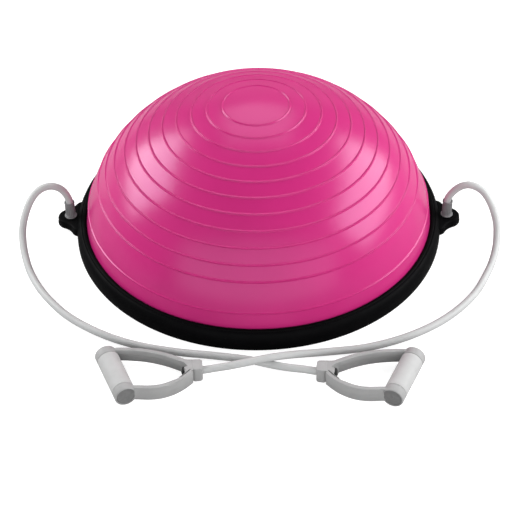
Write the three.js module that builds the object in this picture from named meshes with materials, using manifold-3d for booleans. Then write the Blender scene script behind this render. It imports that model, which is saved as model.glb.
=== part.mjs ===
// Balance dome trainer: an inflated half ball held in a round base, with two elastic
// tubes that rise from lugs on the base, cross in front of it and end in D handles.
// Millimetres, +Z up. The origin is the centre of the base on the floor. -Y is the front.
import * as THREE from 'three';
import { mergeVertices } from 'three/addons/utils/BufferGeometryUtils.js';
import Module from 'manifold-3d';

const wasm = await Module();
wasm.setup();

// ---------- Driving dimensions ----------
const GAP = 0.3; // between pieces that rest on each other

const DOME = {
  centreZ: 10, // height of the superellipse's centre
  radius: 288.7, // its half width
  rise: 241, // its half height, so the crown is at centreZ + rise
  power: 1.9, // 2 would be an ellipse: slightly pointed
  wall: 2.5,
  segments: 48,
};
const RIM = {
  outerRadius: 305,
  lipRadius: 288.2, // inside edge of the lip that holds the dome's bead
  height: 32.4,
  skirtBottom: 1,
  seatZ: 7.7, // underside of the ring, where the base plate is screwed on
  segments: 48,
};
// The bead in the rim's channel.
const BEAD = { radius: 291.8, topZ: 19.5, neckRadius: 287.3, neckZ: 23.5, bevel: 3.5 };
// The inner corner of the bladder, behind the bead.
const LIP_INSIDE = { radius: 282, upperRadius: 284.4, upperZ: 22 };
const PLATE = { radius: 302, bottomZ: 3.4, thickness: 4, valveRecess: 14 };
const SCREW = { count: 8, circle: 297.3, shankRadius: 1.5, length: 17, headRadius: 3.6, headHeight: 1.8 };
const FOOT = { count: 6, circle: 245, radius: 17, centreRadius: 24, height: PLATE.bottomZ - GAP };
const VALVE = { y: 95, boreRadius: 4.3, bodyRadius: 8.6, flangeRadius: 15, height: 18, plugHead: 8, plugLength: 14 };
const LUG = {
  boreX: 316.5, // the bushing's axis, from the base's centre
  tipX: 318.8,
  tipRadius: 19.2,
  topZ: 20,
  shoulderX: 300,
  shoulderY: 27,
  shoulderRadius: 10.5,
};
const BUSHING = {
  sleeveRadius: 8.9,
  flangeRadius: 10.4,
  flangeHeight: 2,
  bodyRadius: 8.8,
  topRadius: 8.3,
  topZ: 50,
  boreRadius: 6.9,
  pocketRadius: 7.5,
};
const STOP = { bottomZ: 6, topZ: 21, radius: 7, stem: 4.6 };
const TUBE = { radius: 6, sides: 8, steps: 62 };
const HANDLE = {
  gripRadius: 17,
  length: 98, // over both hubs
  hubWidth: 14,
  strapHeight: 25,
  strapAtHub: 6, // the straps' thickness, which grows towards the neck
  strapAtNeck: 8,
  skewDegrees: 17.5, // the slack straps let the grip lie turned towards the front
  neckInnerX: 98,
  neckOuterX: 131,
  neckHeight: 26,
  neckNose: 7.5, // half the flat at the neck's outer end
  neckHalfWidth: 12.5,
  neckBoreRadius: 6.4,
  pocketRadius: 7.3,
  pocketDepth: 13,
  plugRadius: 6.8,
  plugLength: 9.9,
  coreRadius: 7,
  capRadius: 14.5,
  capRecess: 2.4,
  coreInset: 5, // from the core's end to the hub's end face
  tiltDegrees: 1.7, // the neck rests on the floor, lower than the grip's axis
};

// Where each handle's grip lies on the floor, and which way its neck points.
const HANDLE_PLACES = {
  left: { x: -210.5, y: -371.5, headingDegrees: 6 },
  right: { x: 222, y: -375.5, headingDegrees: 173.5 },
};

// Centreline of the tube from the left lug to the right handle. It lies under the other.
const LEFT_TUBE_ROUTE = [
  [-316.5, 0, 21.5], [-316.5, 0, 37], [-316.5, 0, 54], [-323.5, 0, 72],
  [-332, -1, 81], [-343, -4, 86.6], [-355, -9, 87], [-366, -16, 83],
  [-375.5, -26, 73.6], [-383, -38, 59.7], [-387.6, -51, 46], [-388.2, -66, 34],
  [-385.5, -84, 24], [-380, -104, 15.5], [-371, -128, 8.5], [-354, -161.1, 6.1],
  [-331, -195.1, 6.1], [-300, -230.1, 6.1], [-261, -260.1, 6.1], [-220, -283.1, 6.1],
  [-175, -300.1, 6.1], [-119, -312.6, 6.1], [-73, -319, 6.1], [-37, -324.5, 6.1],
  [-8, -330.1, 6.1], [18, -338.1, 6.1], [37, -343.6, 6.5], [56, -349.3, 8.4],
  [74, -354.7, 11], [91.9, -360.7, 13.3], [112.6, -363, 13.9],
];

// Centreline of the tube from the right lug to the left handle. It passes over the other.
const RIGHT_TUBE_ROUTE = [
  [316.5, 0, 21.5], [316.5, 0, 37], [316.5, 0, 54], [325.5, 0, 70],
  [335.8, -1, 80], [347.2, -4, 85.8], [360, -9, 85.5], [372, -16, 80],
  [381.5, -26, 69.5], [389, -38, 55], [392.8, -52, 42.3], [392.5, -68, 32],
  [389.5, -88, 21.5], [381, -114, 11.5], [368, -143, 7], [349, -179.1, 6.1],
  [322, -214.1, 6.1], [289, -245.1, 6.1], [250, -271.1, 6.1], [210, -290.1, 6.1],
  [166, -304.1, 6.1], [118, -312, 6.7], [82, -319.2, 9.8],
  [52, -327, 14.2], [28, -334.5, 17.4], [6, -341.8, 19], [-17, -347.6, 18.2],
  [-39, -351.8, 16.2], [-60, -354.6, 14.4], [-80.3, -357.8, 13.3], [-100.9, -360, 13.9],
];

// ---------- Materials ----------
const pink = () => new THREE.MeshStandardMaterial({ color: 0xd62a7e, roughness: 0.32, metalness: 0 });
const black = () => new THREE.MeshStandardMaterial({ color: 0x0d0d0e, roughness: 0.5, metalness: 0 });
const rubber = () => new THREE.MeshStandardMaterial({ color: 0x1a1a1b, roughness: 0.85, metalness: 0 });
const steel = () => new THREE.MeshStandardMaterial({ color: 0x9a9a9c, roughness: 0.3, metalness: 1 });
const paleGrey = () => new THREE.MeshStandardMaterial({ color: 0xcfcfd0, roughness: 0.45, metalness: 0 });
const midGrey = () => new THREE.MeshStandardMaterial({ color: 0x9a9a9b, roughness: 0.5, metalness: 0 });
const tubeGrey = () => new THREE.MeshStandardMaterial({ color: 0xc6c6c7, roughness: 0.4, metalness: 0 });

// ---------- Solids ----------
// A closed geometry as a manifold solid, with shared vertices and faces pointing out.
function solid(geometry) {
  const bare = geometry.index ? geometry.toNonIndexed() : geometry.clone();
  for (const name of Object.keys(bare.attributes)) {
    if (name !== 'position') bare.deleteAttribute(name);
  }
  const merged = mergeVertices(bare, 1e-4);
  const position = merged.attributes.position;
  const corners = [];
  let volume = 0;
  const a = new THREE.Vector3();
  const b = new THREE.Vector3();
  const c = new THREE.Vector3();
  for (let i = 0; i < merged.index.count; i += 3) {
    const [p, q, r] = [0, 1, 2].map((k) => merged.index.getX(i + k));
    if (p === q || q === r || r === p) continue;
    corners.push([p, q, r]);
    a.fromBufferAttribute(position, p);
    b.fromBufferAttribute(position, q);
    c.fromBufferAttribute(position, r);
    volume += a.dot(b.cross(c));
  }
  const facingOut = volume > 0 ? corners : corners.map(([p, q, r]) => [p, r, q]);
  return new wasm.Manifold(new wasm.Mesh({
    numProp: 3,
    vertProperties: new Float32Array(position.array),
    triVerts: new Uint32Array(facingOut.flat()),
  }));
}

function toGeometry(manifold) {
  const mesh = manifold.getMesh();
  const geometry = new THREE.BufferGeometry();
  geometry.setAttribute('position', new THREE.BufferAttribute(new Float32Array(mesh.vertProperties), 3));
  geometry.setIndex(new THREE.BufferAttribute(new Uint32Array(mesh.triVerts), 1));
  geometry.computeVertexNormals();
  return geometry;
}

const joined = (first, ...others) => others.reduce((whole, each) => whole.add(each), first);
const cut = (first, ...others) => others.reduce((whole, each) => whole.subtract(each), first);

// A solid of revolution about +Z. The profile's points are [radius, z]. It starts and
// ends on the axis, or is closed here on itself.
function turned(profile, segments = 32) {
  const onAxis = profile[0][0] === 0 && profile.at(-1)[0] === 0;
  const outline = onAxis ? profile : [...profile, profile[0]];
  const geometry = new THREE.LatheGeometry(outline.map(([r, z]) => new THREE.Vector2(r, z)), segments);
  return solid(geometry.rotateX(Math.PI / 2));
}

const disc = (radius, low, high, segments = 32) => (
  turned([[0, low], [radius, low], [radius, high], [0, high]], segments)
);

const moved = (manifold, x, y, z = 0) => manifold.translate([x, y, z]);
const alongX = (manifold) => manifold.rotate([0, 90, 0]);
const alongY = (manifold) => manifold.rotate([-90, 0, 0]);

// A plan outline of [x, y] points, raised from low to high.
function raised(outline, low, high) {
  const shape = new THREE.Shape(outline.map(([x, y]) => new THREE.Vector2(x, y)));
  const geometry = new THREE.ExtrudeGeometry(shape, { depth: high - low, bevelEnabled: false });
  return solid(geometry.translate(0, 0, low));
}

function named(name, manifold, material) {
  const mesh = new THREE.Mesh(toGeometry(manifold), material);
  mesh.name = name;
  return mesh;
}

// ---------- Dome ----------
// Points of the dome's meridian from the bead up to the crown, set in by inset.
function meridian(lowestZ, inset, count) {
  const { centreZ, radius, rise, power } = DOME;
  const startAngle = Math.asin(((lowestZ - centreZ) / rise) ** (power / 2));
  const points = [];
  for (let i = 0; i < count; i += 1) {
    const angle = startAngle + ((Math.PI / 2 - startAngle) * i) / (count - 1);
    const r = (radius - inset) * Math.cos(angle) ** (2 / power);
    const z = centreZ + (rise - inset) * Math.sin(angle) ** (2 / power);
    points.push([i === count - 1 ? 0 : r, z]);
  }
  return points;
}

const FLOOR_SKIN = { low: PLATE.bottomZ + PLATE.thickness + GAP, thickness: 2.5 };

function makeDome() {
  const outside = [
    [0, FLOOR_SKIN.low],
    [BEAD.radius - BEAD.bevel, FLOOR_SKIN.low],
    [BEAD.radius, FLOOR_SKIN.low + BEAD.bevel],
    [BEAD.radius, BEAD.topZ],
    [BEAD.neckRadius, BEAD.neckZ],
    ...meridian(28, 0, 15),
  ];
  const inside = [
    [0, FLOOR_SKIN.low + FLOOR_SKIN.thickness],
    [LIP_INSIDE.radius, FLOOR_SKIN.low + FLOOR_SKIN.thickness],
    [LIP_INSIDE.upperRadius, LIP_INSIDE.upperZ],
    ...meridian(28, DOME.wall, 7),
  ];
  const valveHole = moved(disc(VALVE.bodyRadius + GAP, 0, 20, 20), 0, VALVE.y);
  return cut(turned(outside, DOME.segments), turned(inside, DOME.segments), valveHole);
}

// ---------- Base ----------
const RIM_PROFILE = [
  [302.3, RIM.skirtBottom], [303.9, RIM.skirtBottom], [RIM.outerRadius, 2.4], [RIM.outerRadius, 10],
  [304.3, 17], [302.7, 23], [300.3, 28], [297.3, 31.2], [294, RIM.height], [290, RIM.height],
  [RIM.lipRadius, 31], [RIM.lipRadius, 24.6], [292.4, 20.6], [292.4, RIM.seatZ], [302.3, RIM.seatZ],
];

// The lug's plan outline for the right-hand side: a round tip that flows through a
// hollow on each side into a shoulder on the rim.
function lugOutline() {
  const { tipX, tipRadius, shoulderX, shoulderY, shoulderRadius } = LUG;
  const arc = (cx, cy, radius, from, to, count) => {
    const points = [];
    for (let i = 0; i <= count; i += 1) {
      const angle = THREE.MathUtils.degToRad(from + ((to - from) * i) / count);
      points.push([cx + radius * Math.cos(angle), cy + radius * Math.sin(angle)]);
    }
    return points;
  };
  const half = [
    ...arc(tipX, 0, tipRadius, 0, 62, 6),
    ...arc(shoulderX, shoulderY, shoulderRadius, 32, 95, 5),
    [shoulderX - 12, shoulderY + shoulderRadius],
  ];
  const mirrored = half.slice(1).reverse().map(([x, y]) => [x, -y]);
  return [...half, ...mirrored];
}

function makeLug() {
  const block = raised(lugOutline(), RIM.skirtBottom, LUG.topZ);
  const bore = moved(disc(BUSHING.sleeveRadius + GAP, 0, LUG.topZ + 1, 28), LUG.boreX, 0);
  const insideOfRim = disc(PLATE.radius + 0.8, 0, LUG.topZ + 1, RIM.segments);
  return cut(block, insideOfRim, bore);
}

function onScrewCircle(manifold) {
  return Array.from({ length: SCREW.count }, (_, i) => {
    const angle = ((i + 0.5) * 2 * Math.PI) / SCREW.count;
    return moved(manifold, SCREW.circle * Math.cos(angle), SCREW.circle * Math.sin(angle));
  });
}

function makeRim() {
  const pilotHoles = onScrewCircle(disc(SCREW.shankRadius + GAP, 0, SCREW.length + 4, 12));
  const ring = turned(RIM_PROFILE, RIM.segments);
  const rightLug = makeLug();
  const leftLug = rightLug.rotate([0, 0, 180]);
  return cut(joined(ring, rightLug, leftLug), ...pilotHoles);
}

function makePlate() {
  const screwHoles = onScrewCircle(disc(SCREW.shankRadius + GAP, 0, 12, 12));
  const valveRecess = moved(disc(PLATE.valveRecess, 0, 12, 24), 0, VALVE.y);
  const plate = disc(PLATE.radius, PLATE.bottomZ, PLATE.bottomZ + PLATE.thickness, RIM.segments);
  return cut(plate, valveRecess, ...screwHoles);
}

function makeScrew() {
  const headTop = PLATE.bottomZ - GAP;
  return turned([
    [0, headTop - SCREW.headHeight],
    [SCREW.headRadius - 0.6, headTop - SCREW.headHeight],
    [SCREW.headRadius, headTop - SCREW.headHeight + 0.7],
    [SCREW.headRadius, headTop],
    [SCREW.shankRadius, headTop],
    [SCREW.shankRadius, headTop + SCREW.length - 2],
    [0, headTop + SCREW.length],
  ], 12);
}

const makeFoot = (radius) => turned([
  [0, 0], [radius - 0.8, 0], [radius, 0.8], [radius, FOOT.height], [0, FOOT.height],
], 24);

// ---------- Air valve ----------
function makeValveBody() {
  const bottom = PLATE.bottomZ + 1;
  const flangeZ = FLOOR_SKIN.low + FLOOR_SKIN.thickness + GAP;
  return moved(turned([
    [VALVE.boreRadius, bottom],
    [VALVE.bodyRadius, bottom],
    [VALVE.bodyRadius, flangeZ],
    [VALVE.flangeRadius, flangeZ],
    [VALVE.flangeRadius, flangeZ + 1.8],
    [VALVE.bodyRadius - 1, flangeZ + 2.4],
    [VALVE.boreRadius + 1.4, bottom + VALVE.height],
    [VALVE.boreRadius, bottom + VALVE.height],
  ], 28), 0, VALVE.y);
}

function makeValvePlug() {
  const headTop = PLATE.bottomZ + 1 - GAP;
  const stem = VALVE.boreRadius - GAP;
  return moved(turned([
    [0, headTop - 2.2],
    [VALVE.plugHead - 1, headTop - 2.2],
    [VALVE.plugHead, headTop - 1.2],
    [VALVE.plugHead, headTop],
    [stem, headTop],
    [stem, headTop + VALVE.plugLength - 2],
    [stem - 1.2, headTop + VALVE.plugLength],
    [0, headTop + VALVE.plugLength],
  ], 24), 0, VALVE.y);
}

// ---------- Tube anchors ----------
function makeBushing() {
  const { sleeveRadius, flangeRadius, flangeHeight, bodyRadius, topRadius, topZ } = BUSHING;
  const seat = LUG.topZ + GAP;
  return turned([
    [BUSHING.pocketRadius, 3],
    [sleeveRadius, 3],
    [sleeveRadius, seat],
    [flangeRadius, seat],
    [flangeRadius, seat + flangeHeight - 0.8],
    [flangeRadius - 1, seat + flangeHeight],
    [bodyRadius, seat + flangeHeight + 1],
    [topRadius, topZ - 1.2],
    [topRadius - 0.8, topZ],
    [BUSHING.boreRadius, topZ],
    [BUSHING.boreRadius, seat],
    [BUSHING.pocketRadius, seat - 2.5],
  ], 28);
}

// The plug in the tube's lower end, which bears on the shoulder inside the bushing.
function makeTubeStop() {
  const { bottomZ, topZ, radius, stem } = STOP;
  return turned([
    [0, bottomZ],
    [radius - 2.5, bottomZ],
    [radius, bottomZ + 2.5],
    [radius, bottomZ + 8],
    [stem + 0.2, topZ - 2.8],
    [stem, topZ],
    [0, topZ],
  ], 20);
}

// ---------- Tubes ----------
function makeTube(route) {
  const path = new THREE.CatmullRomCurve3(route.map((p) => new THREE.Vector3(...p)), false, 'centripetal');
  path.arcLengthDivisions = 800;
  const section = new THREE.Shape();
  for (let i = 0; i < TUBE.sides; i += 1) {
    const angle = (2 * Math.PI * i) / TUBE.sides;
    const [x, y] = [TUBE.radius * Math.cos(angle), TUBE.radius * Math.sin(angle)];
    if (i === 0) section.moveTo(x, y);
    else section.lineTo(x, y);
  }
  return solid(new THREE.ExtrudeGeometry(section, { steps: TUBE.steps, bevelEnabled: false, extrudePath: path }));
}

// ---------- Handles ----------
// The left handle, seen from above with its neck on +X at y = 0. The grip's axis is turned
// from Y by the skew, so the front strap is bowed and the back strap is pulled straighter.
const FRONT_STRAP_LINE = [
  [13, -37.5], [31, -39], [49, -41], [66, -40], [83, -34.5], [98, -25.5], [113, -12],
];
const BACK_STRAP_LINE = [
  [-13, 43], [4, 43.4], [24, 41.2], [44, 37.4], [62, 31.8], [79, 24.4], [95, 15.3], [108, 7],
];

function strapOutline(points) {
  const line = new THREE.CatmullRomCurve3(points.map(([x, y]) => new THREE.Vector3(x, y, 0)));
  const samples = 14;
  const left = [];
  const right = [];
  for (let i = 0; i <= samples; i += 1) {
    const share = i / samples;
    const point = line.getPointAt(share);
    const tangent = line.getTangentAt(share);
    const half = THREE.MathUtils.lerp(HANDLE.strapAtHub, HANDLE.strapAtNeck, share) / 2;
    left.push([point.x - tangent.y * half, point.y + tangent.x * half]);
    right.push([point.x + tangent.y * half, point.y - tangent.x * half]);
  }
  return [...left, ...right.reverse()];
}

const bothEnds = (manifold) => [manifold, manifold.mirror([0, 1, 0])];

// Turns a piece made along the neck's axis into the handle's own frame, where Y is the grip's axis.
const skewed = (manifold) => manifold.rotate([0, 0, -HANDLE.skewDegrees]);

function makeBow() {
  const { neckInnerX, neckOuterX, neckHeight, strapHeight } = HANDLE;
  const end = HANDLE.length / 2;
  const hubStart = end - HANDLE.hubWidth;
  const hubs = bothEnds(alongY(disc(HANDLE.gripRadius, hubStart, end, 32)));
  const straps = [FRONT_STRAP_LINE, BACK_STRAP_LINE].map((line) => (
    raised(strapOutline(line), -strapHeight / 2, strapHeight / 2)
  ));
  const { neckNose, neckHalfWidth } = HANDLE;
  const neckSide = [
    [neckOuterX, neckNose],
    [neckOuterX - 2.5, neckNose + 2.5],
    [neckOuterX - 13, neckNose + 3.3],
    [neckInnerX, neckHalfWidth],
  ];
  const neckOutline = [...neckSide, ...neckSide.map(([x, y]) => [x, -y]).reverse()];
  const neck = raised(neckOutline, -neckHeight / 2, neckHeight / 2);
  const whole = joined(skewed(joined(neck, ...straps)), ...hubs);
  const capRecesses = bothEnds(alongY(disc(HANDLE.capRadius + GAP, end - HANDLE.capRecess, end + 1, 28)));
  const coreHole = disc(HANDLE.coreRadius + GAP, hubStart - 1, end - HANDLE.coreInset, 24);
  const tubeBore = alongX(disc(HANDLE.neckBoreRadius, neckInnerX - 5, neckOuterX + 5, 24));
  const plugPocket = alongX(disc(HANDLE.pocketRadius, neckInnerX - 5, neckInnerX + HANDLE.pocketDepth, 24));
  return cut(whole, ...capRecesses, ...bothEnds(alongY(coreHole)), skewed(tubeBore), skewed(plugPocket));
}

function makeGrip() {
  const halfLength = HANDLE.length / 2 - HANDLE.hubWidth - GAP;
  const bore = HANDLE.coreRadius + 0.5;
  return alongY(turned([
    [bore, -halfLength],
    [HANDLE.gripRadius - 0.6, -halfLength],
    [HANDLE.gripRadius, -halfLength + 0.6],
    [HANDLE.gripRadius, halfLength - 0.6],
    [HANDLE.gripRadius - 0.6, halfLength],
    [bore, halfLength],
  ], 32));
}

function makeCore() {
  const halfLength = HANDLE.length / 2 - HANDLE.coreInset - GAP;
  return alongY(disc(HANDLE.coreRadius, -halfLength, halfLength, 24));
}

function makeCap() {
  const outer = HANDLE.length / 2 - 0.8;
  return alongY(disc(HANDLE.capRadius, HANDLE.length / 2 - HANDLE.capRecess + GAP, outer, 28));
}

// The plug that spreads the tube's end inside the neck. The tube stops against it.
function makeNeckPlug() {
  const start = HANDLE.neckInnerX + 1.5;
  const end = start + HANDLE.plugLength;
  const radius = HANDLE.plugRadius;
  return skewed(alongX(turned([
    [0, start],
    [radius - 2.8, start],
    [radius - 0.4, start + 2],
    [radius, start + 4.5],
    [radius, end - 1.4],
    [radius - 1.8, end],
    [0, end],
  ], 20)));
}

function placeHandle(side) {
  const isLeft = side === 'left';
  const place = HANDLE_PLACES[side];
  const gripHeading = place.headingDegrees + (isLeft ? HANDLE.skewDegrees : -HANDLE.skewDegrees);
  const group = new THREE.Group();
  group.position.set(place.x, place.y, HANDLE.gripRadius);
  group.rotation.set(
    0,
    THREE.MathUtils.degToRad(HANDLE.tiltDegrees),
    THREE.MathUtils.degToRad(gripHeading),
    'ZYX',
  );
  // The pieces are made for the left handle. The right one is its mirror image.
  const sided = (manifold) => (isLeft ? manifold : manifold.mirror([0, 1, 0]));
  const backCap = makeCap();
  const frontCap = backCap.mirror([0, 1, 0]);
  group.add(
    named(`handle_bow_${side}`, sided(makeBow()), paleGrey()),
    named(`grip_sleeve_${side}`, makeGrip(), paleGrey()),
    named(`grip_core_${side}`, makeCore(), steel()),
    named(`front_end_cap_${side}`, sided(frontCap), midGrey()),
    named(`back_end_cap_${side}`, sided(backCap), midGrey()),
    named(`neck_plug_${side}`, sided(makeNeckPlug()), rubber()),
  );
  return group;
}

// ---------- Assembly ----------
const trainer = new THREE.Group();
trainer.add(
  named('dome_bladder', makeDome(), pink()),
  named('base_rim', makeRim(), black()),
  named('base_plate', makePlate(), black()),
  named('valve_body', makeValveBody(), paleGrey()),
  named('valve_plug', makeValvePlug(), paleGrey()),
  named('foot_pad_centre', makeFoot(FOOT.centreRadius), rubber()),
);
for (let i = 0; i < FOOT.count; i += 1) {
  const angle = (i * 2 * Math.PI) / FOOT.count;
  const foot = moved(makeFoot(FOOT.radius), FOOT.circle * Math.cos(angle), FOOT.circle * Math.sin(angle));
  trainer.add(named(`foot_pad_${i + 1}`, foot, rubber()));
}
onScrewCircle(makeScrew()).forEach((screw, i) => trainer.add(named(`base_screw_${i + 1}`, screw, steel())));
for (const [side, x] of [['left', -LUG.boreX], ['right', LUG.boreX]]) {
  trainer.add(
    named(`tube_bushing_${side}`, moved(makeBushing(), x, 0), midGrey()),
    named(`tube_stop_${side}`, moved(makeTubeStop(), x, 0), rubber()),
    placeHandle(side),
  );
}
trainer.add(
  named('elastic_tube_left', makeTube(LEFT_TUBE_ROUTE), tubeGrey()),
  named('elastic_tube_right', makeTube(RIGHT_TUBE_ROUTE), tubeGrey()),
);

export default trainer;
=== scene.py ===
"""Balance dome trainer: its visible surfaces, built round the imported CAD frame. Metres, +Z up."""
import math

import bmesh
import bpy
import numpy as np
from mathutils import Matrix, Vector


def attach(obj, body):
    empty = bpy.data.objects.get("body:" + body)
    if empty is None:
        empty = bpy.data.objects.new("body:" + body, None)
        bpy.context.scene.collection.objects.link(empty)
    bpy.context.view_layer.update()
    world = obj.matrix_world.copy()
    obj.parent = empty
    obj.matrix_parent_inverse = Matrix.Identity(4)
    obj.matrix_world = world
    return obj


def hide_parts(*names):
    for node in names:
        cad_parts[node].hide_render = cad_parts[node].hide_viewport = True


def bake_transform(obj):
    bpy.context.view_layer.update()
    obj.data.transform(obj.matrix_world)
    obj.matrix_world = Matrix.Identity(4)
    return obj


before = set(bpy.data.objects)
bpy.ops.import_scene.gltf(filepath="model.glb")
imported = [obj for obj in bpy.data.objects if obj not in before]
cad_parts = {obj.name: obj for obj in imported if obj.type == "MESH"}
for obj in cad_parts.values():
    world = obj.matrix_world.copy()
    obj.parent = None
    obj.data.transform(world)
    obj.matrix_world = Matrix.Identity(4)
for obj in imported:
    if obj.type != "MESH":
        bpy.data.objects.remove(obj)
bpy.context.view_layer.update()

MM = 0.001

# ---------- Driving dimensions, in millimetres ----------
CAMERA = {
    "place": (45.7, -1944.2, 1636.1),
    "yaw": 1.43,  # degrees, to the left of +Y
    "pitch": 41.358,
    "roll": -1.134,
    "lens": 104.85,  # of a 36 mm sensor
}
DOME = {
    "centre_z": 10,
    "radius": 288.7,
    "rise": 241,
    "power": 1.9,  # of the superellipse; 2 is an ellipse
    "wall": 2.5,
    "lip_z": 26,  # where the skin goes under the rim's lip
    "row_gap": 6.5,  # between the mesh's rows where the skin is plain
}
RIBS = {
    "first": 54,  # along the skin from the crown, like the pitch and the lowest rib
    "pitch": 26,
    "count": 11,
    "lowest": 365,  # one more, below the evenly spaced ones
    "half_width": 2.1,
    "height": 1.7,
}
VALVE = {"y": 95, "hole": 8.9}  # its place on the underside, and its hole's radius
LUG = {
    "bore_x": 316.5,
    "bore": 9.2,  # its radius
    "tip_x": 318.8,
    "tip": 19.2,  # its radius
    "tip_turn": (0, 69),  # the arcs' first and last angles, in degrees
    "hollow": (335.6, 44.1),
    "hollow_radius": 28,
    "hollow_turn": (249.1, 205.7),
    "shoulder": (300, 27),
    "shoulder_radius": 11.5,
    "shoulder_turn": (25.7, 100),
    "root_x": 284,
    "edge": 3.2,  # the radius of its rounded edges
    "bottom": 4.5,
    "top": 20,
}
BUSHING = {
    "flutes": 16,
    "flute_depth": 1.2,
    "flutes_from": 23.6,  # the heights the flutes run between
    "flutes_to": 46.6,
}
TUBE = {"radius": 6, "sides": 20, "ring_gap": 3}
HANDLE = {
    "grip_radius": 17,
    "length": 98,
    "hub_width": 14,
    "strap_height": 25,
    "strap_at_hub": 6,
    "strap_at_neck": 8,
    "strap_groove": 0.12,  # the depth of the line along a strap's top
    "skew": 17.5,  # degrees, between the neck's axis and the grip's normal
    "neck_end": 131,
    "neck_height": 26,
    "tube_bore": 6.2,
    "core_radius": 7,
    "cap_radius": 14.5,
    "cap_recess": 2.4,
    "tilt": 1.7,  # degrees, neck down, because the grip is thicker than the neck
}
HANDLE_PLACES = {
    "left": {"place": (-210.5, -371.5), "heading": 6},
    "right": {"place": (222, -375.5), "heading": 173.5},
}

# The tube from the left lug to the right handle. It lies under the other.
LEFT_TUBE_ROUTE = [
    (-316.5, 0, 21.5), (-316.5, 0, 37), (-316.5, 0, 54), (-323.5, 0, 72),
    (-332, -1, 81), (-343, -4, 86.6), (-355, -9, 87), (-366, -16, 83),
    (-375.5, -26, 73.6), (-383, -38, 59.7), (-387.6, -51, 46), (-388.2, -66, 34),
    (-385.5, -84, 24), (-380, -104, 15.5), (-371, -128, 8.5), (-354, -161.1, 6.1),
    (-331, -195.1, 6.1), (-300, -230.1, 6.1), (-261, -260.1, 6.1), (-220, -283.1, 6.1),
    (-175, -300.1, 6.1), (-119, -312.6, 6.1), (-73, -319, 6.1), (-37, -324.5, 6.1),
    (-8, -330.1, 6.1), (18, -338.1, 6.1), (37, -343.6, 6.5), (56, -349.3, 8.4),
    (74, -354.7, 11), (91.9, -360.7, 13.3), (112.6, -363, 13.9),
]

# The tube from the right lug to the left handle. It passes over the other.
RIGHT_TUBE_ROUTE = [
    (316.5, 0, 21.5), (316.5, 0, 37), (316.5, 0, 54), (325.5, 0, 70),
    (335.8, -1, 80), (347.2, -4, 85.8), (360, -9, 85.5), (372, -16, 80),
    (381.5, -26, 69.5), (389, -38, 55), (392.8, -52, 42.3), (392.5, -68, 32),
    (389.5, -88, 21.5), (381, -114, 11.5), (368, -143, 7), (349, -179.1, 6.1),
    (322, -214.1, 6.1), (289, -245.1, 6.1), (250, -271.1, 6.1), (210, -290.1, 6.1),
    (166, -304.1, 6.1), (118, -312, 6.7), (82, -319.2, 9.8), (52, -327, 14.2),
    (28, -334.5, 17.4), (6, -341.8, 19), (-17, -347.6, 18.2), (-39, -351.8, 16.2),
    (-60, -354.6, 14.4), (-80.3, -357.8, 13.3), (-100.9, -360, 13.9),
]

# The left handle from above, with its neck on +X. Its straps' centrelines, hub to neck.
FRONT_STRAP_LINE = [
    (13, -37.5, 0), (31, -39, 0), (49, -41, 0), (66, -40, 0),
    (83, -34.5, 0), (98, -25.5, 0), (113, -12, 0),
]
BACK_STRAP_LINE = [
    (-13, 43, 0), (4, 43.4, 0), (24, 41.2, 0), (44, 37.4, 0),
    (62, 31.8, 0), (79, 24.4, 0), (95, 15.3, 0), (108, 7, 0),
]

# Plan outlines in the neck: the web between the straps, the slot in the front strap's top, and
# the pockets that open towards the grip.
WEB_OUTLINE = [
    (120, 11.3), (110, 12), (103, 13.4), (98, 14.8), (99.5, 6), (105, -8), (103, -17), (100.5, -22),
    (108, -17.5), (114, -12), (120, -8),
]
SLOT_OUTLINE = [
    (113.6, -8.2), (112.4, -10.2), (105.2, -17.8), (98.2, -23.4), (89.5, -28.4), (85, -30.4),
    (84.4, -29.3), (88.6, -27.2), (97, -21.7), (103.8, -15.8), (110.6, -9),
]
SLOT_FLOOR = 3
POCKET_OUTLINE = [(96, 3), (103.4, -3.4), (108.5, -2), (104.6, 5), (98, 9.4), (92, 12)]
POCKET_HEIGHTS = [(-11, -1.6), (1.2, 14)]


# ---------- Geometry helpers ----------
def new_object(name, verts, faces):
    """A mesh object with its faces turned outwards. Points are in millimetres."""
    mesh = bpy.data.meshes.new(name)
    mesh.from_pydata([tuple(MM * c for c in v) for v in verts], [], faces)
    tidy = bmesh.new()
    tidy.from_mesh(mesh)
    bmesh.ops.remove_doubles(tidy, verts=tidy.verts, dist=1e-7)
    bmesh.ops.recalc_face_normals(tidy, faces=tidy.faces)
    tidy.to_mesh(mesh)
    tidy.free()
    obj = bpy.data.objects.new(name, mesh)
    bpy.context.scene.collection.objects.link(obj)
    return obj


def lathe(name, profile, segments=128, ripple=None):
    """A solid of revolution about Z. The profile runs from axis to axis, or closes on itself.
    Where ripple is given, it works out the radius from the angle and the profile's point."""
    verts, rings = [], []
    for r, z in profile:
        if r < 1e-6:
            rings.append([len(verts)] * segments)
            verts.append((0, 0, z))
            continue
        rings.append(list(range(len(verts), len(verts) + segments)))
        for i in range(segments):
            angle = 2 * math.pi * i / segments
            radius = ripple(angle, r, z) if ripple else r
            verts.append((radius * math.cos(angle), radius * math.sin(angle), z))
    on_axis = profile[0][0] < 1e-6 and profile[-1][0] < 1e-6
    pairs = list(zip(rings, rings[1:])) + ([] if on_axis else [(rings[-1], rings[0])])
    faces = []
    for low, high in pairs:
        for i in range(segments):
            j = (i + 1) % segments
            corners = dict.fromkeys([low[i], low[j], high[j], high[i]])
            if len(corners) > 2:
                faces.append(list(corners))
    return new_object(name, verts, faces)


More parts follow.
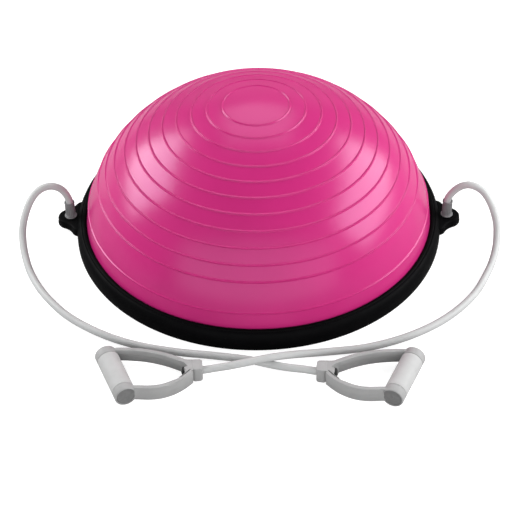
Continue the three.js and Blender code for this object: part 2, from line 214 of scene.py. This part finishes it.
def catmull_rom(points, per_span):
    """A centripetal Catmull-Rom curve through the points, as an array of points."""
    given = [np.array(p, float) for p in points]
    ends = [2 * given[0] - given[1], *given, 2 * given[-1] - given[-2]]
    curve = []
    for p0, p1, p2, p3 in zip(ends, ends[1:], ends[2:], ends[3:]):
        d0, d1, d2 = (math.sqrt(np.linalg.norm(b - a)) for a, b in ((p0, p1), (p1, p2), (p2, p3)))
        t1 = ((p1 - p0) / d0 - (p2 - p0) / (d0 + d1) + (p2 - p1) / d1) * d1
        t2 = ((p2 - p1) / d1 - (p3 - p1) / (d1 + d2) + (p3 - p2) / d2) * d1
        for t in np.arange(per_span) / per_span:
            a = 2 * t**3 - 3 * t**2 + 1
            b = t**3 - 2 * t**2 + t
            c = 3 * t**2 - 2 * t**3
            d = t**3 - t**2
            curve.append(a * p1 + b * t1 + c * p2 + d * t2)
    return np.array([*curve, given[-1]])


def evenly(line, gap):
    """The same line with its points about gap apart."""
    along = np.concatenate([[0], np.cumsum(np.linalg.norm(np.diff(line, axis=0), axis=1))])
    at = np.linspace(0, along[-1], round(along[-1] / gap) + 1)
    return np.stack([np.interp(at, along, line[:, k]) for k in range(3)], axis=1)


def skin(name, sections):
    """A closed solid lofted through closed sections with the same number of points."""
    count = len(sections[0])
    verts = [p for section in sections for p in section]
    faces = [list(range(count)), [len(verts) - count + i for i in range(count)]]
    for k in range(len(sections) - 1):
        for i in range(count):
            j = (i + 1) % count
            a, b = k * count, (k + 1) * count
            faces.append([a + i, a + j, b + j, b + i])
    return new_object(name, verts, faces)


def sweep_round(name, line, radius, sides):
    """A round tube along the line, with a frame that doesn't twist."""
    tangents = np.gradient(line, axis=0)
    tangents /= np.linalg.norm(tangents, axis=1)[:, None]
    across = np.cross(tangents[0], (0, 1, 0))
    sections = []
    for point, tangent in zip(line, tangents):
        across = across - tangent * (across @ tangent)
        across /= np.linalg.norm(across)
        up = np.cross(tangent, across)
        turns = [2 * math.pi * i / sides for i in range(sides)]
        sections.append([point + radius * (math.cos(a) * across + math.sin(a) * up) for a in turns])
    return skin(name, sections)


def plan_solid(name, outlines, low, high, bevel):
    """A flat solid from closed plan outlines, the later ones holes, with rounded edges."""
    curve = bpy.data.curves.new(name, "CURVE")
    curve.dimensions = "2D"
    curve.fill_mode = "BOTH"
    curve.extrude = MM * ((high - low) / 2 - bevel)
    curve.bevel_depth = MM * bevel
    curve.bevel_resolution = 3
    curve.offset = -MM * bevel
    for outline in outlines:
        spline = curve.splines.new("POLY")
        spline.points.add(len(outline) - 1)
        for point, (x, y) in zip(spline.points, outline):
            point.co = (MM * x, MM * y, 0, 1)
        spline.use_cyclic_u = True
    holder = bpy.data.objects.new(name, curve)
    mesh = bpy.data.meshes.new_from_object(holder)
    bpy.data.objects.remove(holder)
    bpy.data.curves.remove(curve)
    verts = [(v.co.x / MM, v.co.y / MM, v.co.z / MM + (low + high) / 2) for v in mesh.vertices]
    faces = [list(p.vertices) for p in mesh.polygons]
    bpy.data.meshes.remove(mesh)
    return new_object(name, verts, faces)


def arc(centre, radius, start, end, count):
    """Points of an arc in plan, from start to end degrees."""
    angles = [math.radians(start + (end - start) * i / count) for i in range(count + 1)]
    return [(centre[0] + radius * math.cos(a), centre[1] + radius * math.sin(a)) for a in angles]


def turn(obj, matrix):
    """Bakes a matrix into the mesh, and turns its faces back out where it mirrors."""
    obj.data.transform(matrix)
    if matrix.determinant() < 0:
        obj.data.flip_normals()
    return obj


def combine(obj, tools, operation="UNION"):
    """Joins the tools to the object, or cuts them out of it, and removes them."""
    for tool in tools:
        modifier = obj.modifiers.new("combine", "BOOLEAN")
        modifier.operation = operation
        modifier.solver = "EXACT"
        modifier.object = tool
    bpy.context.view_layer.update()
    evaluated = obj.evaluated_get(bpy.context.evaluated_depsgraph_get())
    mesh = bpy.data.meshes.new_from_object(evaluated)
    obj.modifiers.clear()
    obj.data = mesh
    for tool in tools:
        bpy.data.objects.remove(tool)
    return obj


def smooth(obj, degrees=35):
    """Smooth shading, with edges sharper than the angle kept crisp."""
    for polygon in obj.data.polygons:
        polygon.use_smooth = True
    obj.data.set_sharp_from_angle(angle=math.radians(degrees))
    return obj


def finished(obj, material, slot, body, *nodes):
    """Gives a finished piece its look, its body and the CAD nodes that it stands for."""
    smooth(obj)
    obj.data.materials.clear()
    obj.data.materials.append(material)
    if body:
        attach(obj, body)
    if nodes:
        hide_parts(*nodes)
    return obj


ALONG_X = Matrix.Rotation(math.radians(90), 4, "Y")
ALONG_Y = Matrix.Rotation(math.radians(-90), 4, "X")
MIRROR_Y = Matrix.Scale(-1, 4, (0, 1, 0))


# ---------- Materials ----------
def linear(red, green, blue):
    """A display colour of 0 to 255 as scene-linear values."""
    values = (c / 255 for c in (red, green, blue))
    return (*(v / 12.92 if v < 0.04045 else ((v + 0.055) / 1.055) ** 2.4 for v in values), 1)


def moulded(name, light, dark, rough, mottle_size, grain_size, grain, **shader):
    """A moulded plastic, rubber or metal. light and dark are the colours it drifts between, rough
    its lowest and highest roughness, and grain the height of its fine bumps. Sizes in millimetres."""
    material = bpy.data.materials.new(name)
    material.use_nodes = True
    nodes, links = material.node_tree.nodes, material.node_tree.links
    principled = nodes["Principled BSDF"]
    for socket, value in shader.items():
        principled.inputs[SOCKETS[socket]].default_value = value
    place = nodes.new("ShaderNodeTexCoord")

    def noise(size, detail):
        texture = nodes.new("ShaderNodeTexNoise")
        texture.inputs["Scale"].default_value = 1 / (MM * size)
        texture.inputs["Detail"].default_value = detail
        links.new(place.outputs["Object"], texture.inputs["Vector"])
        return texture.outputs["Fac"]

    mottle = noise(mottle_size, 4)
    colours = nodes.new("ShaderNodeValToRGB")
    colours.color_ramp.elements[0].position = 0.35
    colours.color_ramp.elements[1].position = 0.65
    colours.color_ramp.elements[0].color = dark
    colours.color_ramp.elements[1].color = light
    links.new(mottle, colours.inputs["Fac"])
    links.new(colours.outputs["Color"], principled.inputs["Base Color"])
    gloss = nodes.new("ShaderNodeMapRange")
    gloss.inputs["From Min"].default_value = 0.3
    gloss.inputs["From Max"].default_value = 0.7
    gloss.inputs["To Min"].default_value = rough[0]
    gloss.inputs["To Max"].default_value = rough[1]
    links.new(noise(mottle_size * 0.3, 3), gloss.inputs["Value"])
    links.new(gloss.outputs["Result"], principled.inputs["Roughness"])
    bump = nodes.new("ShaderNodeBump")
    bump.inputs["Strength"].default_value = 1
    bump.inputs["Distance"].default_value = MM * grain
    links.new(noise(grain_size, 2), bump.inputs["Height"])
    links.new(bump.outputs["Normal"], principled.inputs["Normal"])
    return material


SOCKETS = {
    "metallic": "Metallic",
    "specular": "Specular IOR Level",
    "specular_tint": "Specular Tint",
}

PINK = moulded(
    "pink_vinyl", linear(181, 38, 109), linear(178, 37, 107), (0.26, 0.266), 60, 1.6, 0.003,
    specular=0.36, specular_tint=(0.84, 0.74, 1, 1),
)
BLACK = moulded(
    "black_moulding", linear(6, 6, 7), linear(4, 4, 5), (0.5, 0.6), 30, 0.7, 0.05, specular=0.03,
)
HANDLE_GREY = moulded(
    "handle_grey", linear(154, 154, 154), linear(148, 148, 148), (0.45, 0.55), 25, 0.8, 0.03, specular=0.2,
)
GRIP_GREY = moulded(
    "grip_grey", linear(175, 175, 175), linear(169, 169, 169), (0.5, 0.6), 25, 0.7, 0.04, specular=0.2,
)
CAP_GREY = moulded(
    "cap_grey", linear(116, 116, 116), linear(108, 108, 108), (0.5, 0.6), 6, 0.7, 0.05, specular=0.2,
)
TUBE_GREY = moulded(
    "tube_grey", linear(179, 180, 180), linear(173, 174, 174), (0.4, 0.48), 50, 1.5, 0.02, specular=0.25,
)
BUSHING_GREY = moulded(
    "bushing_grey", linear(126, 126, 127), linear(116, 116, 118), (0.4, 0.5), 12, 0.6, 0.03, specular=0.2,
)
RUBBER = moulded("black_rubber", linear(34, 34, 35), linear(26, 26, 27), (0.75, 0.85), 12, 0.6, 0.08)
STEEL = moulded(
    "plated_steel", linear(190, 190, 194), linear(176, 176, 180), (0.28, 0.4), 8, 0.4, 0.02, metallic=1,
)
VALVE_WHITE = moulded(
    "valve_white", linear(226, 226, 224), linear(220, 220, 218), (0.34, 0.42), 10, 0.6, 0.02,
)


# ---------- Camera ----------
def make_camera():
    """The camera, aimed by its yaw, its pitch below the level and its roll."""
    yaw, pitch, roll = (math.radians(CAMERA[k]) for k in ("yaw", "pitch", "roll"))
    level = math.cos(pitch)
    ahead = Vector((-math.sin(yaw) * level, math.cos(yaw) * level, -math.sin(pitch)))
    right = Vector((math.cos(yaw), math.sin(yaw), 0))
    up = right.cross(ahead)
    right, up = (
        right * math.cos(roll) + up * math.sin(roll),
        up * math.cos(roll) - right * math.sin(roll),
    )
    data = bpy.data.cameras.new("camera")
    data.lens = CAMERA["lens"]
    data.sensor_width = 36
    camera = bpy.data.objects.new("camera", data)
    camera.matrix_world = Matrix.Translation(MM * Vector(CAMERA["place"])) @ (
        Matrix((right, up, -ahead)).transposed().to_4x4()
    )
    bpy.context.scene.collection.objects.link(camera)
    bpy.context.scene.camera = camera


# ---------- Tubes ----------
def make_tube(side, route):
    """An elastic tube, running from its lug at one end to a handle at the other."""
    line = evenly(catmull_rom(route, 12), TUBE["ring_gap"])
    node = f"elastic_tube_{side}"
    tube = sweep_round(f"pull_tube_{side}", line, TUBE["radius"], TUBE["sides"])
    finished(tube, TUBE_GREY, "tube_rubber", None, node)
    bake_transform(tube)


make_camera()

make_tube("left", LEFT_TUBE_ROUTE)
make_tube("right", RIGHT_TUBE_ROUTE)


# ---------- Dome ----------
def dome_meridian():
    """Points [radius, z] of the plain skin from the crown to its widest, and their distance along it."""
    angles = np.linspace(math.pi / 2, 0, 4001)
    share = 2 / DOME["power"]
    points = np.stack([
        DOME["radius"] * np.clip(np.cos(angles), 0, 1) ** share,
        DOME["centre_z"] + DOME["rise"] * np.clip(np.sin(angles), 0, 1) ** share,
    ], axis=1)
    steps = np.diff(points, axis=0)
    along = np.concatenate([[0], np.cumsum(np.linalg.norm(steps, axis=1))])
    return points, along


def make_dome():
    """The inflated skin with its round ribs, hollow inside, and a hole in its flat side."""
    points, along = dome_meridian()
    lip = along[np.argmin(np.abs(points[:, 1] - DOME["lip_z"]))]
    ribs = [RIBS["first"] + RIBS["pitch"] * i for i in range(RIBS["count"])] + [RIBS["lowest"]]
    half = RIBS["half_width"]
    wall = DOME["wall"]

    def on_skin(s):
        return [np.interp(s, along, points[:, k]) for k in range(2)]

    def from_rib(s):
        return min(abs(s - rib) for rib in ribs)

    # Each rib has 13 rows of its own. The plain rows keep clear of them.
    rib_rows = [rib + half * k / 5 for rib in ribs for k in range(-6, 7)]
    plain_rows = [s for s in np.arange(4, lip, DOME["row_gap"]) if from_rib(s) > 1.6 * half]
    outside = []
    for s in sorted([0, *rib_rows, *plain_rows, lip]):
        r, z = on_skin(s)
        ahead = np.subtract(on_skin(s + 0.5), on_skin(max(s - 0.5, 0)))
        ahead /= math.hypot(*ahead)
        lift = RIBS["height"] * 0.5 * (1 + math.cos(math.pi * min(from_rib(s) / half, 1)))
        outside.append((max(0, r - lift * ahead[1]) if s else 0, z + lift * ahead[0]))
    under_lip = [(288, 23.5), (291.8, 19.5), (291.8, 11.2), (288.3, 7.7), (0, 7.7)]
    dome = lathe("dome_skin", outside + under_lip, 256)
    cavity = [(0, 10.2), (282, 10.2), (284.4, 22)]
    for s in np.linspace(lip, 20, 16):
        r, z = on_skin(s)
        cavity.append((r - wall, z - wall))
    cavity.append((0, DOME["centre_z"] + DOME["rise"] - wall))
    inside = lathe("inside", cavity, 96)
    hole = lathe("hole", [(0, 0), (VALVE["hole"], 0), (VALVE["hole"], 20), (0, 20)], 32)
    turn(hole, Matrix.Translation((0, MM * VALVE["y"], 0)))
    combine(dome, [inside, hole], "DIFFERENCE")
    finished(dome, PINK, "dome_skin", "base", "dome_bladder")


# ---------- Base ----------
RIM_PROFILE = [
    (302.3, 1), (303.6, 1), (304.6, 1.5), (305, 2.6), (305, 8), (304.8, 13), (304.1, 18), (302.9, 22.6),
    (301.2, 26.4), (299, 29.3), (297.2, 30.7), (296.3, 30.9), (295.8, 30.5), (295.2, 30.5), (294.8, 31.2),
    (294.2, 32), (293.2, 32.4), (291, 32.4), (289.6, 32.1), (288.6, 31.4), (288.2, 30.4), (288.2, 24.6),
    (292.4, 20.6), (292.4, 7.7), (302.3, 7.7),
]


def lug_outline(grow=0):
    """The right lug in plan: a round tip that flows into a shoulder on each side."""
    half = [
        *arc((LUG["tip_x"], 0), LUG["tip"] + grow, *LUG["tip_turn"], 16),
        *arc(LUG["hollow"], LUG["hollow_radius"] - grow, *LUG["hollow_turn"], 8),
        *arc(LUG["shoulder"], LUG["shoulder_radius"] + grow, *LUG["shoulder_turn"], 12),
        (LUG["root_x"], LUG["shoulder"][1] + LUG["shoulder_radius"] + grow),
    ]
    mirrored = [(x, -y) for x, y in reversed(half[1:])]
    return half + mirrored


def make_lug():
    """A lug with rounded edges, raised a little off the floor, and a low ring round its socket."""
    bottom, top = LUG["bottom"], LUG["top"]
    body = plan_solid("lug", [lug_outline()], bottom, top, LUG["edge"])
    ledge = plan_solid("ledge", [lug_outline(0.8)], bottom + 2, bottom + 6, 0.9)
    collar = lathe("collar", [
        (8.9, 12), (13.6, 12), (13.6, 20.2), (13.1, 20.7), (12.1, 20.7), (11.7, 20.3), (8.9, 20.3),
    ], 64)
    bore = lathe("bore", [(0, -2), (LUG["bore"], -2), (LUG["bore"], 30), (0, 30)], 48)
    for piece in (collar, bore):
        turn(piece, Matrix.Translation((MM * LUG["bore_x"], 0, 0)))
    inner = lathe("inner", [(0, -2), (298, -2), (298, 30), (0, 30)], 192)
    combine(body, [ledge, collar])
    return combine(body, [bore, inner], "DIFFERENCE")


def make_rim():
    """The ring with its lip and its two lugs, in one piece."""
    rim = lathe("base_ring", RIM_PROFILE, 256)
    right = make_lug()
    left = right.copy()
    left.data = right.data.copy()
    bpy.context.scene.collection.objects.link(left)
    turn(left, Matrix.Rotation(math.pi, 4, "Z"))
    combine(rim, [right, left])
    finished(rim, BLACK, "base_shell", "base", "base_rim")


# ---------- Bushings ----------
BUSHING_PROFILE = [
    (7.5, 6), (8.9, 6), (8.9, 20.5), (9.9, 20.5), (10.2, 20.8), (10.2, 21.6), (9.9, 22.1), (9.2, 22.3),
    (8.1, 22.4), (8, 23.2), (8.05, 24.5), (8.1, 25.5), (8.3, 30), (8.35, 36), (8.2, 42), (8, 45.2),
    (8, 46.2), (7.95, 46.8), (8.4, 47.2), (8.6, 47.8), (8.6, 49), (8.3, 49.8), (7.6, 50), (7.1, 49.9),
    (6.6, 49.4), (6.5, 48.6), (6.5, 20), (7.5, 18),
]


def make_bushing(side, x):
    """The fluted socket that stands in a lug."""
    inner_radius = 7.6  # the flutes are cut only outside it

    def fluted(angle, r, z):
        if r < inner_radius:
            return r
        fade_in = max(0, min(1, (z - BUSHING["flutes_from"]) / 1.6))
        fade_out = max(0, min(1, (BUSHING["flutes_to"] - z) / 1.2))
        wave = max(0, math.cos(BUSHING["flutes"] * angle)) ** 0.6
        return r - BUSHING["flute_depth"] * fade_in * fade_out * wave

    bushing = lathe(f"socket_{side}", BUSHING_PROFILE, 160, fluted)
    turn(bushing, Matrix.Translation((MM * x, 0, 0)))
    finished(bushing, BUSHING_GREY, "bushing_plastic", "base", f"tube_bushing_{side}")


# ---------- Handles ----------
def strap_section(thickness, outer_sign):
    """Half-width and height points of a strap's section. Its inner face is cut back below
    mid-height, and a shallow groove runs along its top near that face."""
    t, h = thickness / 2, HANDLE["strap_height"] / 2
    groove = h - HANDLE["strap_groove"]
    outer = [
        (t - 1.1, -h), (t - 0.3, -h + 0.3), (t, -h + 1.1), (t + 0.2, 0),
        (t, h - 1.1), (t - 0.3, h - 0.3), (t - 1.1, h),
    ]
    top = [(-t + 2.35, h), (-t + 2.3, groove), (-t + 1.4, groove), (-t + 1.35, h)]
    inner = [
        (-t + 0.8, h), (-t + 0.25, h - 0.3), (-t, h - 1), (-t, 1.6), (-t + 0.3, 1), (-t + 1.2, 0.8),
        (-t + 2.4, -h + 1.1), (-t + 2.6, -h + 0.3), (-t + 3, -h),
    ]
    return [(outer_sign * n, z) for n, z in outer + top + inner]


def make_strap(points, outer_sign):
    """A strap from hub to neck, thicker towards the neck. outer_sign is +1 where its outer face is
    on the left of that way."""
    line = evenly(catmull_rom(points, 12), 2.5)
    tangents = np.gradient(line, axis=0)
    tangents /= np.linalg.norm(tangents, axis=1)[:, None]
    thicknesses = np.linspace(HANDLE["strap_at_hub"], HANDLE["strap_at_neck"], len(line))
    sections = []
    for point, tangent, thickness in zip(line, tangents, thicknesses):
        left = np.array([-tangent[1], tangent[0], 0])
        section = strap_section(thickness, outer_sign)
        sections.append([point + left * n + np.array([0, 0, z]) for n, z in section])
    return skin("strap", sections)


def make_neck():
    """The block round the tube, and the web that fills the gap between the straps behind it."""
    corner = 4.5
    block_top = HANDLE["neck_height"] / 2
    web_top = HANDLE["strap_height"] / 2
    side = [
        *arc((HANDLE["neck_end"] - corner, 6.4), corner, 0, 84, 8),
        (120.5, 11.4), (118.6, 11.2), (117.4, 10.2), (115.5, 8),
    ]
    outline = side + [(x, -y) for x, y in reversed(side)]
    block = plan_solid("neck", [outline], -block_top, block_top, 1.3)
    web = plan_solid("web", [WEB_OUTLINE], 0.6 - web_top, web_top - 0.1, 0.3)
    return combine(block, [web])


def neck_cuts():
    """What is cut out of a joined neck: the slot, the pockets, and the tube's bore and mouth."""
    end, bore = HANDLE["neck_end"], HANDLE["tube_bore"]
    mouth = bore + 0.7
    past = end + 9
    return [
        plan_solid("slot", [SLOT_OUTLINE], SLOT_FLOOR, 20, 0.2),
        *[plan_solid("pocket", [POCKET_OUTLINE], low, high, 0.3) for low, high in POCKET_HEIGHTS],
        turn(lathe("bore", [(0, end - 25), (bore, end - 25), (bore, past), (0, past)], 40), ALONG_X),
        turn(lathe("mouth", [(0, end - 1), (mouth, end - 1), (mouth, past), (0, past)], 40), ALONG_X),
    ]


def make_hub():
    """The round end of the frame on +Y, with a hole for the core and a recess for its cap."""
    end = HANDLE["length"] / 2
    start = end - HANDLE["hub_width"]
    radius = HANDLE["grip_radius"]
    recess = HANDLE["cap_radius"] + 0.3
    floor = end - HANDLE["cap_recess"]
    hole = HANDLE["core_radius"] + 0.3
    profile = [
        (hole, start), (radius - 0.7, start), (radius - 0.1, start + 0.5), (radius, start + 1.1),
        (radius, end - 1.5), (radius - 0.4, end - 0.5), (radius - 1.1, end), (recess + 0.4, end),
        (recess, end - 0.4), (recess, floor), (hole, floor),
    ]
    return turn(lathe("hub", profile, 96), ALONG_Y)


def make_bow(side, matrix):
    """The D frame: two hubs, two straps and the neck, joined into one."""
    reach = HANDLE["length"] / 2 - 2
    hole = HANDLE["core_radius"] + 0.3
    hubs = [make_hub(), turn(make_hub(), MIRROR_Y)]
    neck = make_neck()
    combine(neck, [make_strap(FRONT_STRAP_LINE, -1), make_strap(BACK_STRAP_LINE, 1)])
    combine(neck, neck_cuts(), "DIFFERENCE")
    turn(neck, Matrix.Rotation(math.radians(-HANDLE["skew"]), 4, "Z"))
    bow = combine(neck, hubs)
    core = lathe("core_hole", [(0, -reach), (hole, -reach), (hole, reach), (0, reach)], 48)
    combine(bow, [turn(core, ALONG_Y)], "DIFFERENCE")
    bow.name = f"d_frame_{side}"
    turn(bow, matrix)
    finished(bow, HANDLE_GREY, "handle_plastic", f"handle_{side}", f"handle_bow_{side}")


def make_grip(side, matrix):
    """The sleeve that turns between the hubs, a little barrel-shaped."""
    radius = HANDLE["grip_radius"]
    half = HANDLE["length"] / 2 - HANDLE["hub_width"] - 0.3
    bore = HANDLE["core_radius"] + 0.5
    upper = [
        (bore, half), (radius - 0.8, half), (radius - 0.15, half - 0.5),
        (radius, half - 1.2), (radius, half - 6),
    ]
    lower = [(r, -z) for r, z in reversed(upper)]
    grip = lathe(f"hand_grip_{side}", [*upper, (radius + 0.05, 0), *lower], 128)
    turn(grip, matrix @ ALONG_Y)
    finished(grip, GRIP_GREY, "grip_plastic", f"grip_{side}", f"grip_sleeve_{side}")


def make_cap(side, end_name, matrix):
    """The disc that closes a hub, with a low ring at its edge and a small pip at its centre."""
    face = HANDLE["length"] / 2 - 0.8
    radius = HANDLE["cap_radius"]
    profile = [
        (0, face - 1.6), (radius, face - 1.6), (radius, face - 0.5), (radius - 0.5, face),
        (radius - 1.3, face), (radius - 1.8, face - 0.25), (8, face - 0.5), (2.2, face - 0.55),
        (1.9, face - 0.3), (1.4, face - 0.25), (0, face - 0.25),
    ]
    cap = turn(lathe(f"cap_{end_name}_{side}", profile, 96), matrix @ ALONG_Y)
    finished(cap, CAP_GREY, "end_cap_plastic", f"handle_{side}", f"{end_name}_end_cap_{side}")


def make_handle(side):
    """A whole handle where it lies. The right one is a mirror image of the left."""
    place = HANDLE_PLACES[side]
    is_left = side == "left"
    heading = place["heading"] + (HANDLE["skew"] if is_left else -HANDLE["skew"])
    stand = (
        Matrix.Translation(MM * Vector((*place["place"], HANDLE["grip_radius"])))
        @ Matrix.Rotation(math.radians(heading), 4, "Z")
        @ Matrix.Rotation(math.radians(HANDLE["tilt"]), 4, "Y")
    )
    sided = stand if is_left else stand @ MIRROR_Y
    make_bow(side, sided)
    make_grip(side, stand)
    make_cap(side, "back", sided)
    make_cap(side, "front", sided @ MIRROR_Y)


# ---------- Pieces kept from the frame ----------
def dress_cad_nodes():
    """Materials for the small and hidden pieces, which keep the frame's own shapes."""
    looks = {
        "base_plate": BLACK,
        "valve_": VALVE_WHITE,
        "foot_pad_": RUBBER,
        "base_screw_": STEEL,
        "grip_core_": STEEL,
        "tube_stop_": RUBBER,
        "neck_plug_": RUBBER,
    }
    for name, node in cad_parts.items():
        for start, material in looks.items():
            if name.startswith(start):
                node.data.materials.clear()
                node.data.materials.append(material)


make_dome()
make_rim()
make_bushing("left", -LUG["bore_x"])
make_bushing("right", LUG["bore_x"])
make_handle("left")
make_handle("right")
dress_cad_nodes()


# ---------- Studio ----------
FLOOR_GREY = 0.4  # its real colour, which the object is lit by
FLOOR_GLOW = 0.85  # added where it is looked at, as a bright backdrop
FLOOR_REACH = 12
HORIZON_GLOW = 0.24
OVERHEAD_GLOW = 0.12


def make_floor():
    """A plain floor just under the object, which the camera sees as white."""
    mesh = bpy.data.meshes.new("floor")
    corners = [(-1, -1), (1, -1), (1, 1), (-1, 1)]
    mesh.from_pydata([(FLOOR_REACH * x, FLOOR_REACH * y, 0) for x, y in corners], [], [(0, 1, 2, 3)])
    floor = bpy.data.objects.new("floor", mesh)
    bpy.context.scene.collection.objects.link(floor)
    floor.location.z = -0.0005
    material = bpy.data.materials.new("white_sweep")
    material.use_nodes = True
    nodes, links = material.node_tree.nodes, material.node_tree.links
    principled = nodes["Principled BSDF"]
    principled.inputs["Base Color"].default_value = (FLOOR_GREY, FLOOR_GREY, FLOOR_GREY, 1)
    principled.inputs["Roughness"].default_value = 0.9
    principled.inputs["Specular IOR Level"].default_value = 0
    lit = nodes.new("ShaderNodeEmission")
    seen = nodes.new("ShaderNodeAddShader")
    shown = nodes.new("ShaderNodeMixShader")
    path = nodes.new("ShaderNodeLightPath")
    lit.inputs["Strength"].default_value = FLOOR_GLOW
    links.new(principled.outputs["BSDF"], seen.inputs[0])
    links.new(lit.outputs["Emission"], seen.inputs[1])
    links.new(path.outputs["Is Camera Ray"], shown.inputs["Fac"])
    links.new(principled.outputs["BSDF"], shown.inputs[1])
    links.new(seen.outputs["Shader"], shown.inputs[2])
    links.new(shown.outputs["Shader"], nodes["Material Output"].inputs["Surface"])
    mesh.materials.append(material)


def softbox(name, azimuth, elevation, distance, size, radiance):
    """A lamp aimed at the dome. Azimuth runs clockwise from +Y, in degrees, and distance and size
    are in metres."""
    data = bpy.data.lights.new(name, "AREA")
    data.shape = "RECTANGLE"
    data.size, data.size_y = size
    data.energy = 4 * size[0] * size[1] * radiance
    azimuth, elevation = math.radians(azimuth), math.radians(elevation)
    aim = Vector((0, 0, 0.12))
    out = Vector((
        math.sin(azimuth) * math.cos(elevation),
        math.cos(azimuth) * math.cos(elevation),
        math.sin(elevation),
    ))
    light = bpy.data.objects.new(name, data)
    light.location = aim + distance * out
    light.rotation_mode = "QUATERNION"
    light.rotation_quaternion = out.to_track_quat("Z", "Y")
    light.visible_camera = False
    bpy.context.scene.collection.objects.link(light)


def make_world():
    """A grey surround that darkens overhead, and that the camera sees as white."""
    world = bpy.data.worlds.new("studio")
    world.use_nodes = True
    nodes, links = world.node_tree.nodes, world.node_tree.links
    nodes["Background"].inputs["Color"].default_value = (1, 1, 1, 1)
    direction = nodes.new("ShaderNodeTexCoord")
    split = nodes.new("ShaderNodeSeparateXYZ")
    fall = nodes.new("ShaderNodeMapRange")
    fall.interpolation_type = "SMOOTHSTEP"
    fall.inputs["From Min"].default_value = 0.1
    fall.inputs["From Max"].default_value = 0.95
    fall.inputs["To Min"].default_value = HORIZON_GLOW
    fall.inputs["To Max"].default_value = OVERHEAD_GLOW
    white = nodes.new("ShaderNodeBackground")
    white.inputs["Color"].default_value = (1, 1, 1, 1)
    path = nodes.new("ShaderNodeLightPath")
    shown = nodes.new("ShaderNodeMixShader")
    links.new(direction.outputs["Generated"], split.inputs["Vector"])
    links.new(split.outputs["Z"], fall.inputs["Value"])
    links.new(fall.outputs["Result"], nodes["Background"].inputs["Strength"])
    links.new(path.outputs["Is Camera Ray"], shown.inputs["Fac"])
    links.new(nodes["Background"].outputs["Background"], shown.inputs[1])
    links.new(white.outputs["Background"], shown.inputs[2])
    links.new(shown.outputs["Shader"], nodes["World Output"].inputs["Surface"])
    bpy.context.scene.world = world
    bpy.context.scene.view_settings.view_transform = "Standard"


make_floor()
make_world()
softbox("left_box", -69, 27, 2.0, (1.4, 1.1), 7.4)
softbox("right_box", 82, 26, 2.0, (2.2, 1.1), 6.2)
softbox("back_box", 0, 57, 2.0, (1.2, 1.2), 2.1)
softbox("back_card", 0, 20, 2.2, (2.0, 0.9), 0.2)
softbox("front_card", 180, 18, 2.6, (6.0, 2.4), 1.5)
